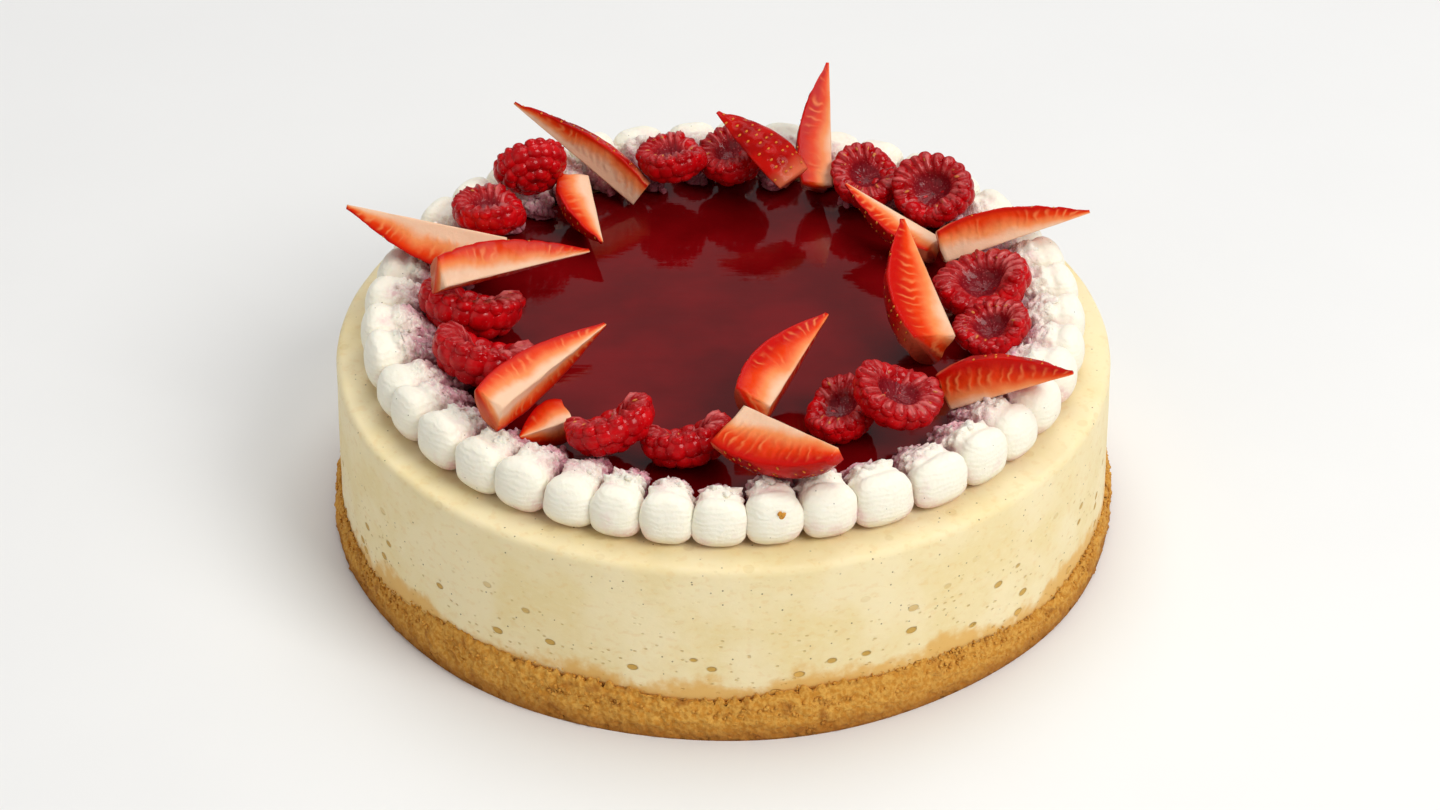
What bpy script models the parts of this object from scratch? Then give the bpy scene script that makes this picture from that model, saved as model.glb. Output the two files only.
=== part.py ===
"""A cheesecake 20 cm across: biscuit crust, baked filling, berry jelly, piped cream and cut fruit.

Lengths are written in millimetres and turned into metres by MM. Plan angles are in degrees, from +X
towards +Y. The cake stands on z = 0 with its centre on the z axis.
"""
import math
import random

import bmesh
import bpy
from mathutils import Matrix, Vector
from mathutils.bvhtree import BVHTree

MM = 0.001

# The body of the cake
CAKE_RADIUS = 100.0
CAKE_HEIGHT = 49.0
SHOULDER = 3.0
AROUND = 96

# The crust stands a little proud of the filling, lower at one side than at the other
CRUST_RADIUS = 102.3
CRUST_SWELL = 0.6
CRUST_HEIGHT = 9.2
CRUST_HEIGHT_SWING = 3.6
CRUST_HIGH_SIDE = -100.0
CRUST_FLAT_RADIUS = 90.0
CRUST_LIP_RADIUS = 100.3
CRUMB_RELIEF = 0.35

# The jelly lies on the filling, inside the cream
JELLY_RADIUS = 78.0
JELLY_HEIGHT = 2.7
JELLY_AROUND = 64

# The cream is piped dollop by dollop, each dragged inwards over the edge of the jelly. Along a tail,
# from the dollop's crown to the tail's end, the top falls by these drops
DOLLOP_COUNT = 41
DOLLOP_FOOT_RADIUS = 91.3
DOLLOP_TOP = 62.4
DOLLOP_TOP_SPREAD = 0.7
DOLLOP_BULGE = 1.6
DOLLOP_ROUNDING = 1.9
CROWN_INSET = 6.0
CREASE_DEPTH = 3.5
CREASE_DROP = 4.6
CREAM_INNER_RADIUS = 79.0
TAIL_REACH = (67.0, 73.0)
TAIL_NOTCH_RADIUS = 77.8
TAIL_UNDERSIDE = 52.4
TAIL_DROPS = ((0.36, 1.3), (0.74, 4.4), (1.0, 7.6))
TAIL_THINNEST = 1.0
FRONT_DOLLOPS = (-167.2, -157.6, -151.0, -141.5, -132.0, -123.6, -114.8, -107.0, -98.8, -90.6,
                 -82.2, -73.5, -64.4, -53.8, -44.4)
COLUMNS = (-0.5, -0.33, -0.12, 0.12, 0.33)

# Touching pieces keep a small gap
GAP = 0.3
REST_GAP = 0.6
DROP_HEIGHT = 80.0
SAMPLE_STEP = 1.2

# Wedges of strawberry: plan place of the stalk end, heading and tilt of the tip, roll of the skin
# from straight down, length and radius, and how pointed the tip is, from 1 down to 0 for a blunt one
WEDGES = (
    ("strawberry_01", -24.5, 59.0, 160.0, 36.0, -130.0, 42.0, 9.0, 1.0),
    ("strawberry_02", -36.0, 58.0, -80.0, -12.0, -60.0, 26.0, 10.0, 1.0),
    ("strawberry_03", -56.0, 17.5, 168.0, 6.0, 0.0, 43.0, 12.0, 1.0),
    ("strawberry_04", -70.0, -12.5, 31.0, -4.0, 95.0, 42.0, 9.5, 1.0),
    ("strawberry_05", -53.5, -62.5, 54.0, 3.0, 60.0, 42.0, 10.0, 1.0),
    ("strawberry_06", -37.0, -54.0, -160.0, -8.0, -60.0, 13.5, 8.5, 1.0),
    ("strawberry_07", 11.5, -49.5, 64.0, 12.0, 65.0, 35.0, 11.5, 1.0),
    ("strawberry_08", 5.0, -62.5, -46.0, 6.0, -24.0, 32.0, 14.0, 0.5),
    ("strawberry_09", 58.5, -20.0, 110.0, 22.0, 60.0, 38.0, 14.5, 1.0),
    ("strawberry_10", 56.0, -43.5, -9.0, 25.0, 128.0, 33.0, 11.5, 1.0),
    ("strawberry_11", 58.0, 20.0, 12.0, 15.0, 110.0, 40.0, 10.0, 1.0),
    ("strawberry_12", 57.5, 31.5, 145.0, 12.0, 45.0, 31.0, 9.0, 1.0),
    ("strawberry_13", 29.5, 59.0, 92.0, 46.0, 60.0, 34.0, 10.0, 1.0),
    ("strawberry_14", 17.0, 57.0, 144.0, 34.0, 170.0, 28.0, 9.5, 1.0),
)
WEDGE_SPREAD = 90.0
WEDGE_STATIONS = ((0.0, 0.84), (0.10, 0.95), (0.28, 1.0), (0.50, 0.88), (0.70, 0.62), (0.87, 0.33),
                  (0.96, 0.13))
WEDGE_TIP_DROP = 0.06
WEDGE_SKIN_STEPS = 6

# Halves of raspberry: plan place, radius, direction of the open end, then how far the cut face
# leans and towards what direction
HALVES = (
    ("raspberry_01", -52.0, 57.0, 10.0, 80.0, 65.0, 105.0),
    ("raspberry_02", -62.0, 38.8, 11.2, 10.0, 12.0, 110.0),
    ("raspberry_03", -14.5, 67.0, 10.8, 10.0, 14.0, 140.0),
    ("raspberry_04", 1.5, 70.0, 11.0, 10.0, 20.0, 190.0),
    ("raspberry_05", 38.0, 57.5, 10.5, 20.0, 20.0, -110.0),
    ("raspberry_06", 55.0, 46.5, 11.5, -130.0, 25.0, -120.0),
    ("raspberry_07", 66.0, 7.5, 12.5, -90.0, 14.0, 180.0),
    ("raspberry_08", 67.5, -11.5, 10.0, -90.0, 15.0, 180.0),
    ("raspberry_09", 28.5, -45.5, 10.5, 170.0, 12.0, -150.0),
    ("raspberry_10", 43.5, -50.5, 11.5, 90.0, 26.0, -40.0),
    ("raspberry_11", -9.5, -57.5, 11.5, 100.0, 20.0, 120.0),
    ("raspberry_12", -28.5, -57.5, 11.5, 110.0, 24.0, 140.0),
    ("raspberry_13", -59.0, -24.5, 13.5, 80.0, 20.0, 50.0),
    ("raspberry_14", -64.0, 0.5, 13.5, 80.0, 18.0, 60.0),
)
HALF_DEPTH = 0.80
HALF_LENGTH = 0.84
HALF_LOBES = 8
LOBE_RELIEF = 0.055
HOLLOW_DEPTH = 0.5
HALF_RINGS = ((0.42, -0.93), (0.78, -0.68), (1.0, -0.30), (0.96, 0.0), (0.5, -0.02), (0.34, -HOLLOW_DEPTH))
LOBED_RINGS = (0, 1, 2, 3)
OPEN_END_DROP = 0.42
OPEN_END_START = 0.55
RIM_RINGS = (3, 4)

# The order in which the fruit was laid on the cake
LAID = (
    "strawberry_07", "strawberry_08", "raspberry_11", "raspberry_12", "strawberry_06", "strawberry_10",
    "raspberry_09", "raspberry_10", "raspberry_14", "raspberry_13", "strawberry_05", "strawberry_09",
    "raspberry_08", "strawberry_11", "raspberry_07", "strawberry_13", "raspberry_05", "strawberry_12",
    "raspberry_06", "raspberry_04", "strawberry_14", "strawberry_02", "raspberry_01", "strawberry_01",
    "raspberry_03", "strawberry_03", "raspberry_02", "strawberry_04",
)

# Colour, roughness
FINISHES = {
    "crust": ((0.50, 0.24, 0.07, 1.0), 0.9),
    "filling": ((0.80, 0.72, 0.47, 1.0), 0.6),
    "jelly": ((0.16, 0.004, 0.008, 1.0), 0.06),
    "cream": ((0.86, 0.82, 0.73, 1.0), 0.65),
    "strawberry": ((0.62, 0.05, 0.02, 1.0), 0.35),
    "raspberry": ((0.42, 0.004, 0.012, 1.0), 0.35),
}


def polar(radius, degrees, height):
    """The point at a radius and a plan angle, in metres."""
    angle = math.radians(degrees)
    return Vector((radius * math.cos(angle) * MM, radius * math.sin(angle) * MM, height * MM))


def material(slot):
    """The material of a slot, made once."""
    found = bpy.data.materials.get(slot)
    if found:
        return found
    colour, roughness = FINISHES[slot]
    made = bpy.data.materials.new(slot)
    made.use_nodes = True
    shader = made.node_tree.nodes["Principled BSDF"]
    shader.inputs["Base Color"].default_value = colour
    shader.inputs["Roughness"].default_value = roughness
    shader.inputs["Metallic"].default_value = 0.0
    return made


def finish(name, bm, slot):
    """Turns a bmesh into a named object with its material."""
    bmesh.ops.recalc_face_normals(bm, faces=bm.faces)
    mesh = bpy.data.meshes.new(name)
    bm.to_mesh(mesh)
    bm.free()
    mesh.shade_smooth()
    mesh.set_sharp_from_angle(angle=math.radians(40.0))
    mesh.materials.append(material(slot))
    made = bpy.data.objects.new(name, mesh)
    bpy.context.scene.collection.objects.link(made)
    return made


def loft(bm, loops):
    """Joins closed loops of points, one after the other, with quads, and returns their vertices."""
    rings = [[bm.verts.new(point) for point in loop] for loop in loops]
    for lower, upper in zip(rings, rings[1:]):
        count = len(lower)
        for i in range(count):
            j = (i + 1) % count
            bm.faces.new((lower[i], lower[j], upper[j], upper[i]))
    return rings


def ring_angles(count):
    return [360.0 * i / count for i in range(count)]


def crust_top(degrees):
    """Height of the crust's uneven outer edge."""
    angle = math.radians(degrees)
    swing = CRUST_HEIGHT_SWING * math.cos(angle - math.radians(CRUST_HIGH_SIDE))
    wave = 1.4 * math.sin(6.0 * angle + 2.1) + 0.6 * math.sin(13.0 * angle + 0.7)
    return CRUST_HEIGHT + swing + wave


def crust_side(degrees):
    """Outer radius of the crust, which swells unevenly where it was pressed into the tin."""
    angle = math.radians(degrees)
    return CRUST_RADIUS + CRUST_SWELL * math.sin(3.0 * angle + 0.3) + 0.25 * math.sin(8.0 * angle)


def make_crust():
    """A disc of pressed biscuit with a crumbly side and an uneven top edge."""
    crumbs = random.Random(4)
    levels = ((0.0, -0.1), (0.16, 0.2), (0.5, 0.0), (0.82, -0.5))
    loops = []
    for share, proud in levels:
        loop = []
        for degrees in ring_angles(AROUND):
            relief = crumbs.uniform(-CRUMB_RELIEF, CRUMB_RELIEF) if share else 0.0
            loop.append(polar(crust_side(degrees) + proud + relief, degrees, share * crust_top(degrees)))
        loops.append(loop)
    loops.append([polar(CRUST_LIP_RADIUS, a, crust_top(a)) for a in ring_angles(AROUND)])
    loops.append([polar(CRUST_FLAT_RADIUS, a, CRUST_HEIGHT) for a in ring_angles(AROUND)])
    bm = bmesh.new()
    rings = loft(bm, loops)
    bm.faces.new(reversed(rings[0]))
    bm.faces.new(rings[-1])
    return finish("crust", bm, "crust")


def make_filling():
    """The baked filling: upright wall, rounded shoulder and level top, on the crust's uneven edge."""
    around = ring_angles(AROUND)
    loops = [[polar(CRUST_FLAT_RADIUS, a, CRUST_HEIGHT + GAP) for a in around],
             [polar(CRUST_LIP_RADIUS, a, crust_top(a) + GAP) for a in around],
             [polar(CAKE_RADIUS, a, 0.5 * (CRUST_HEIGHT + CAKE_HEIGHT)) for a in around]]
    for turn in (0.0, 30.0, 60.0, 90.0):
        lean = math.radians(turn)
        radius = CAKE_RADIUS - 0.4 - SHOULDER * (1.0 - math.cos(lean))
        height = CAKE_HEIGHT - SHOULDER * (1.0 - math.sin(lean))
        loops.append([polar(radius, a, height) for a in around])
    # From the top down, so that its underside splits into the same triangles as the crust's top
    bm = bmesh.new()
    rings = loft(bm, reversed(loops))
    bm.faces.new(reversed(rings[0]))
    bm.faces.new(rings[-1])
    return finish("filling", bm, "filling")


def make_jelly():
    """The set jelly: a thin disc with a rounded, slightly uneven edge."""
    base = CAKE_HEIGHT + GAP
    loops = []
    for inset, share in ((0.9, 0.0), (0.1, 0.25), (0.0, 0.6), (1.2, 1.0)):
        loop = []
        for degrees in ring_angles(JELLY_AROUND):
            wave = 0.35 * math.sin(5.0 * math.radians(degrees)) + 0.2 * math.sin(11.0 * math.radians(degrees))
            loop.append(polar(JELLY_RADIUS + wave - inset, degrees, base + share * JELLY_HEIGHT))
        loops.append(loop)
    bm = bmesh.new()
    rings = loft(bm, loops)
    bm.faces.new(reversed(rings[0]))
    bm.faces.new(rings[-1])
    return finish("jelly", bm, "jelly")


def dollop_places():
    """Plan angles of all the dollops: those at the front as piped, the rest evenly with a small drift."""
    drift = random.Random(11)
    rest = DOLLOP_COUNT - len(FRONT_DOLLOPS)
    span = 360.0 - (FRONT_DOLLOPS[-1] - FRONT_DOLLOPS[0])
    step = span / (rest + 1)
    places = list(FRONT_DOLLOPS)
    for i in range(rest):
        places.append(FRONT_DOLLOPS[-1] + step * (i + 1) + drift.uniform(-0.5, 0.5))
    return places


def cream_section(swell, tail, top):
    """Radius and height of the points round the cream's section, from its foot over the top.

    swell is 1 at a dollop's middle and 0 in the crease between two dollops.
    """
    foot = DOLLOP_FOOT_RADIUS - CREASE_DEPTH * (1.0 - swell)
    base = CAKE_HEIGHT + GAP
    crown = foot - CROWN_INSET
    section = [(foot, base),
               (foot + 0.8 * DOLLOP_BULGE * swell, base + 0.17 * (top - base)),
               (foot + DOLLOP_BULGE * swell, base + 0.5 * (top - base)),
               (foot - DOLLOP_BULGE, top - DOLLOP_ROUNDING),
               (crown, top)]
    for share, drop in TAIL_DROPS:
        section.append((crown + share * (tail - crown), max(top - drop, TAIL_UNDERSIDE + TAIL_THINNEST)))
    section.extend(((tail + 0.9, TAIL_UNDERSIDE),
                    (CREAM_INNER_RADIUS, TAIL_UNDERSIDE),
                    (CREAM_INNER_RADIUS, base)))
    return section


def make_cream():
    """The ring of fused dollops, as one section carried round the cake and changed at each step."""
    places = dollop_places()
    ragged = random.Random(23)
    columns = []
    for i, middle in enumerate(places):
        before = middle - places[i - 1] if i else middle + 360.0 - places[-1]
        after = places[i + 1] - middle if i + 1 < len(places) else places[0] + 360.0 - middle
        reach = ragged.uniform(*TAIL_REACH)
        crown = DOLLOP_TOP + ragged.uniform(-DOLLOP_TOP_SPREAD, DOLLOP_TOP_SPREAD)
        for phase in COLUMNS:
            swell = math.sqrt(1.0 - abs(2.0 * phase) ** 2.4)
            taper = 1.0 - abs(2.0 * phase) ** 1.2
            tail = TAIL_NOTCH_RADIUS + (reach - TAIL_NOTCH_RADIUS) * taper
            tail += ragged.uniform(-0.8, 0.4) * taper
            top = crown - CREASE_DROP * (1.0 - swell) if taper else DOLLOP_TOP - CREASE_DROP
            degrees = middle + phase * (before if phase < 0.0 else after)
            columns.append([polar(r, degrees, z) for r, z in cream_section(swell, tail, top)])
    bm = bmesh.new()
    rings = [[bm.verts.new(point) for point in column] for column in columns]
    for i, ring in enumerate(rings):
        following = rings[(i + 1) % len(rings)]
        for j in range(len(ring)):
            k = (j + 1) % len(ring)
            bm.faces.new((ring[j], following[j], following[k], ring[k]))
    return finish("cream_border", bm, "cream")


def wedge_mesh(length, radius, point):
    """A lengthwise wedge of a strawberry, its inner edge on +X, its skin facing -Z, its tip at +X."""
    loops = []
    half = math.radians(0.5 * WEDGE_SPREAD)
    for share, size in WEDGE_STATIONS:
        out = radius * size ** point
        loop = [Vector((share * length * MM, 0.0, 0.0))]
        for i in range(WEDGE_SKIN_STEPS + 1):
            turn = -half + 2.0 * half * i / WEDGE_SKIN_STEPS
            loop.append(Vector((share * length * MM, out * math.sin(turn) * MM, -out * math.cos(turn) * MM)))
        loops.append(loop)
    bm = bmesh.new()
    rings = loft(bm, loops)
    bm.faces.new(reversed(rings[0]))
    tip = bm.verts.new((length * MM, 0.0, -WEDGE_TIP_DROP * radius * MM))
    last = rings[-1]
    for i, vertex in enumerate(last):
        bm.faces.new((vertex, last[(i + 1) % len(last)], tip))
    return bm


def make_wedge(name, x, y, heading, tilt, roll, length, radius, point):
    """A strawberry wedge, turned and put over its place at the drop height."""
    bm = wedge_mesh(length, radius, point)
    turn = (Matrix.Rotation(math.radians(heading), 4, "Z") @ Matrix.Rotation(math.radians(-tilt), 4, "Y")
            @ Matrix.Rotation(math.radians(roll), 4, "X"))
    place = Matrix.Translation((x * MM, y * MM, (CAKE_HEIGHT + DROP_HEIGHT) * MM))
    bmesh.ops.transform(bm, matrix=place @ turn, verts=bm.verts)
    return finish(name, bm, "strawberry")


def half_mesh(radius):
    """Half a raspberry as a lobed cup, its cut face up at z = 0, its hollow open towards +X."""
    around = 2 * HALF_LOBES
    depth = HALF_DEPTH * radius
    loops = []
    for index, (reach, level) in enumerate(HALF_RINGS):
        loop = []
        for i in range(around):
            turn = 2.0 * math.pi * i / around
            relief = LOBE_RELIEF if index in LOBED_RINGS else 0.0
            out = radius * reach * (1.0 + (relief if i % 2 else -relief)) * MM
            notch = max(0.0, (math.cos(turn) - OPEN_END_START) / (1.0 - OPEN_END_START))
            drop = OPEN_END_DROP * notch if index in RIM_RINGS else 0.0
            loop.append(Vector((out * HALF_LENGTH * math.cos(turn), out * math.sin(turn), (level - drop) * depth * MM)))
        loops.append(loop)
    bm = bmesh.new()
    made = loft(bm, loops)
    bottom = bm.verts.new((0.0, 0.0, -depth * MM))
    floor = bm.verts.new((0.0, 0.0, -(HOLLOW_DEPTH + 0.08) * depth * MM))
    for ring, hub in ((made[0], bottom), (made[-1], floor)):
        for i, vertex in enumerate(ring):
            bm.faces.new((vertex, ring[(i + 1) % around], hub))
    return bm


def make_half(name, x, y, radius, open_end, lean, towards):
    """A raspberry half, leaned and put over its place at the drop height."""
    bm = half_mesh(radius)
    direction = math.radians(towards)
    axis = Vector((-math.sin(direction), math.cos(direction), 0.0))
    turn = Matrix.Rotation(math.radians(lean), 4, axis) @ Matrix.Rotation(math.radians(open_end), 4, "Z")
    place = Matrix.Translation((x * MM, y * MM, (CAKE_HEIGHT + DROP_HEIGHT) * MM))
    bmesh.ops.transform(bm, matrix=place @ turn, verts=bm.verts)
    return finish(name, bm, "raspberry")


def triangles(piece):
    """The world points and the triangles of an object's mesh."""
    piece.data.calc_loop_triangles()
    points = [piece.matrix_world @ vertex.co for vertex in piece.data.vertices]
    return points, [tuple(face.vertices) for face in piece.data.loop_triangles]


def samples(points, faces):
    """Points spaced over the edges of some triangles."""
    found = []
    edges = {tuple(sorted((face[i], face[(i + 1) % 3]))) for face in faces for i in range(3)}
    for a, b in sorted(edges):
        steps = max(1, math.ceil((points[b] - points[a]).length / (SAMPLE_STEP * MM)))
        found.extend(points[a].lerp(points[b], i / steps) for i in range(steps + 1))
    return found


class Pile:
    """What already lies on the cake, so that the next piece can be lowered onto it."""

    def __init__(self, pieces):
        self.points = []
        self.faces = []
        self.samples = []
        for piece in pieces:
            self.add(piece)

    def add(self, piece):
        """Adds a piece to what the next one may rest on."""
        points, faces = triangles(piece)
        shift = len(self.points)
        self.points.extend(points)
        self.faces.extend(tuple(i + shift for i in face) for face in faces)
        self.samples.extend(samples(points, faces))

    def lower(self, piece):
        """Lowers a piece until it rests on the pile with a small gap, and adds it."""
        points, faces = triangles(piece)
        below = BVHTree.FromPolygons(self.points, self.faces)
        above = BVHTree.FromPolygons(points, faces)
        low = [min(point[i] for point in points) for i in (0, 1)]
        high = [max(point[i] for point in points) for i in (0, 1)]
        distances = []
        for point in samples(points, faces):
            distances.append(below.ray_cast(point, Vector((0.0, 0.0, -1.0)))[3])
        for point in self.samples:
            if low[0] <= point.x <= high[0] and low[1] <= point.y <= high[1]:
                distances.append(above.ray_cast(point, Vector((0.0, 0.0, 1.0)))[3])
        fall = min(distance for distance in distances if distance is not None) - REST_GAP * MM
        piece.data.transform(Matrix.Translation((0.0, 0.0, -fall)))
        self.add(piece)


def main():
    for leftover in list(bpy.data.objects):
        bpy.data.objects.remove(leftover, do_unlink=True)
    make_crust()
    filling = make_filling()
    jelly = make_jelly()
    cream = make_cream()
    fruit = {}
    for row in WEDGES:
        fruit[row[0]] = make_wedge(*row)
    for row in HALVES:
        fruit[row[0]] = make_half(*row)
    bpy.context.view_layer.update()
    pile = Pile((filling, jelly, cream))
    for name in LAID:
        pile.lower(fruit[name])


main()
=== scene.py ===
"""A cheesecake with berry jelly, piped cream and cut fruit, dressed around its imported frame.

Meshes are shaped in millimetres and turned into metres when a piece is finished. +Z is up, the front
is towards -Y, and plan angles run from +X towards +Y.
"""
import logging
import math
import random
from dataclasses import dataclass
from enum import Enum
from typing import Iterable, Iterator, Sequence

import bmesh
import bpy
from mathutils import Matrix, Vector, noise


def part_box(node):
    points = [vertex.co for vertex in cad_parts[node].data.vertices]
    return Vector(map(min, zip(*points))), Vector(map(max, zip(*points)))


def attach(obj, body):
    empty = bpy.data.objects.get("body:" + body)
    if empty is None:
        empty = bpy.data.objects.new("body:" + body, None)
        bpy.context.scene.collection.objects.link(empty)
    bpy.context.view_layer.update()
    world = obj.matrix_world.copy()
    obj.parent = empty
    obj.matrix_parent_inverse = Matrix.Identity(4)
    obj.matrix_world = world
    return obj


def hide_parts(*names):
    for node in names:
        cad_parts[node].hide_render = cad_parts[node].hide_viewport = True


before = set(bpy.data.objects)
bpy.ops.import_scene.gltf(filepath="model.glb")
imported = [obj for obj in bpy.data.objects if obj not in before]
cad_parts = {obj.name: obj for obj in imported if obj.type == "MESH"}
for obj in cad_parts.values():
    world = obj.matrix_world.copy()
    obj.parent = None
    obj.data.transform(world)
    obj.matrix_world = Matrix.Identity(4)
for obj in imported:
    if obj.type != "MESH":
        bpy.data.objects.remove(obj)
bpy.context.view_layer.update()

MM = 0.001
LOG = logging.getLogger("cheesecake")

Triple = tuple[float, float, float]
Colour = Triple
Stops = tuple[tuple[float, float], ...]


class Slot(Enum):
    """The record's material slots."""

    CRUST = "crust"
    FILLING = "filling"
    JELLY = "jelly"
    CREAM = "cream"
    STRAWBERRY = "strawberry"
    RASPBERRY = "raspberry"


class Flesh(Enum):
    """How ripe the cut face of a strawberry wedge looks, from 0, pale, to 1, deep red."""

    PALE = 0.05
    BLUSH = 0.3
    RED = 0.52
    DEEP = 0.72


def put(name: str, data: bpy.types.ID) -> bpy.types.Object:
    """Adds an object to the scene."""
    made = bpy.data.objects.new(name, data)
    bpy.context.scene.collection.objects.link(made)
    return made


def smooth_step(low: float, high: float, value: float) -> float:
    """Eases from 0 at low to 1 at high."""
    share = min(1.0, max(0.0, (value - low) / (high - low)))
    return share * share * (3.0 - 2.0 * share)


def blend(stops: Sequence[tuple[float, float]], place: float) -> float:
    """Reads straight lines drawn through stops.

    Args:
        stops: Pairs of place and value, in rising order of place.
        place: Where to read.

    Returns:
        The value on the line between the two stops around the place.
    """
    if place <= stops[0][0]:
        return stops[0][1]
    for (x0, y0), (x1, y1) in zip(stops, stops[1:]):
        if place <= x1:
            share = (place - x0) / (x1 - x0)
            return y0 + (y1 - y0) * share
    return stops[-1][1]


def rounded(stops: Sequence[tuple[float, float]], place: float, reach: float = 0.06) -> float:
    """Reads stops as blend does, with the corners between the straight runs rounded off."""
    offsets = (-1.0, -0.5, 0.0, 0.5, 1.0)
    return sum(blend(stops, place + offset * reach) for offset in offsets) / len(offsets)


class Signal:
    """A shader socket that can stand in sums and products."""

    def __init__(self, shader: "Shader", socket: bpy.types.NodeSocket) -> None:
        """Wraps a socket of a shader."""
        self.shader = shader
        self.socket = socket

    def _math(self, operation: str, *values: "Signal | float") -> "Signal":
        """Adds a Math node over some values."""
        return self.shader.node("ShaderNodeMath", {"operation": operation}, dict(enumerate(values)))

    def __add__(self, other: "Signal | float") -> "Signal":
        """The sum of two values."""
        return self._math("ADD", self, other)

    __radd__ = __add__

    def __sub__(self, other: "Signal | float") -> "Signal":
        """The difference of two values."""
        return self._math("SUBTRACT", self, other)

    def __rsub__(self, other: "Signal | float") -> "Signal":
        """The difference of two values, this one taken away."""
        return self._math("SUBTRACT", other, self)

    def __mul__(self, other: "Signal | float") -> "Signal":
        """The product of two values."""
        return self._math("MULTIPLY", self, other)

    __rmul__ = __mul__

    def __pow__(self, other: "Signal | float") -> "Signal":
        """This value raised to a power."""
        return self._math("POWER", self, other)

    def sine(self) -> "Signal":
        """The sine of this value in radians."""
        return self._math("SINE", self)

    def ease(self, low: float, high: float) -> "Signal":
        """Eases from 0 at low to 1 at high, or the other way round where low is the larger."""
        return self.shader.node("ShaderNodeMapRange", {"interpolation_type": "SMOOTHSTEP"},
                                {"Value": self, "From Min": low, "From Max": high})


class Shader:
    """A material under construction, round one Principled BSDF."""

    def __init__(self, name: str, **fixed: float | Colour) -> None:
        """Starts a material.

        Args:
            name: The material's name.
            **fixed: Values of the shader's sockets, with underscores for the spaces in their names.
        """
        self.material = bpy.data.materials.new(name)
        self.material.use_nodes = True
        self.nodes = self.material.node_tree.nodes
        self.links = self.material.node_tree.links
        self.surface = self.nodes["Principled BSDF"]
        for key, value in fixed.items():
            self.surface.inputs[key.replace("_", " ")].default_value = value

    def node(self, kind: str, settings: dict, values: dict, output: int | str = 0) -> Signal:
        """Adds a node.

        Args:
            kind: The node's type.
            settings: Its properties, set before its sockets.
            values: Socket names or numbers, each with a value or a link.
            output: The socket that is handed back.

        Returns:
            The chosen output.
        """
        made = self.nodes.new(kind)
        for key, value in settings.items():
            setattr(made, key, value)
        for key, value in values.items():
            socket = made.inputs[key]
            if isinstance(value, Signal):
                self.links.new(value.socket, socket)
            elif isinstance(value, tuple) and len(value) == 3 and socket.type == "RGBA":
                socket.default_value = (*value, 1.0)
            else:
                socket.default_value = value
        return Signal(self, made.outputs[output])

    def place(self, turn: Triple = (0.0, 0.0, 0.0), stretch: Triple = (1.0, 1.0, 1.0)) -> Signal:
        """Object coordinates in millimetres, turned and stretched."""
        where = self.node("ShaderNodeTexCoord", {}, {}, "Object")
        scale = tuple(value / MM for value in stretch)
        return self.node("ShaderNodeMapping", {}, {"Vector": where, "Rotation": turn, "Scale": scale})

    def stored(self, name: str, output: str = "Fac") -> Signal:
        """A value that the mesh keeps at its points."""
        return self.node("ShaderNodeAttribute", {"attribute_name": name}, {}, output)

    def axis(self, vector: Signal, which: str) -> Signal:
        """One coordinate of a vector."""
        return self.node("ShaderNodeSeparateXYZ", {}, {"Vector": vector}, which)

    def noise(self, where: Signal, scale: float, detail: float = 3.0, twist: float = 0.0) -> Signal:
        """Soft noise, from about 0.3 to 0.7."""
        return self.node("ShaderNodeTexNoise", {}, {"Vector": where, "Scale": scale, "Detail": detail,
                                                    "Distortion": twist})

    def cells(self, where: Signal, scale: float, output: str = "Distance") -> Signal:
        """Voronoi cells: distance to the nearest point, or that cell's own colour."""
        return self.node("ShaderNodeTexVoronoi", {}, {"Vector": where, "Scale": scale}, output)

    def mix(self, share: Signal | float, first: Signal | Colour, second: Signal | Colour) -> Signal:
        """A colour between two."""
        made = self.nodes.new("ShaderNodeMix")
        made.data_type = "RGBA"
        for socket, value in ((made.inputs[0], share), (made.inputs[6], first), (made.inputs[7], second)):
            if isinstance(value, Signal):
                self.links.new(value.socket, socket)
            else:
                socket.default_value = (*value, 1.0) if isinstance(value, tuple) else value
        return Signal(self, made.outputs[2])

    def layered(self, colour: Signal, *coats: tuple[Signal, Signal | Colour]) -> Signal:
        """Lays coats over a colour.

        Args:
            colour: The colour at the bottom.
            *coats: Pairs of how much a coat covers and its colour, the lowest first.

        Returns:
            The colour that shows.
        """
        for share, coat in coats:
            colour = self.mix(share, colour, coat)
        return colour

    def finish(self, colour: Signal, rough: Signal | float, relief: Signal | None = None,
               depth: float = 1.0) -> bpy.types.Material:
        """Links what varies over the surface.

        Args:
            colour: The base colour.
            rough: The roughness.
            relief: A height from 0 to 1, or none.
            depth: How many millimetres one unit of relief is.

        Returns:
            The material.
        """
        self.links.new(colour.socket, self.surface.inputs["Base Color"])
        if isinstance(rough, Signal):
            self.links.new(rough.socket, self.surface.inputs["Roughness"])
        else:
            self.surface.inputs["Roughness"].default_value = rough
        if relief:
            bump = self.node("ShaderNodeBump", {}, {"Height": relief, "Distance": depth * MM}, "Normal")
            self.links.new(bump.socket, self.surface.inputs["Normal"])
        return self.material


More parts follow.
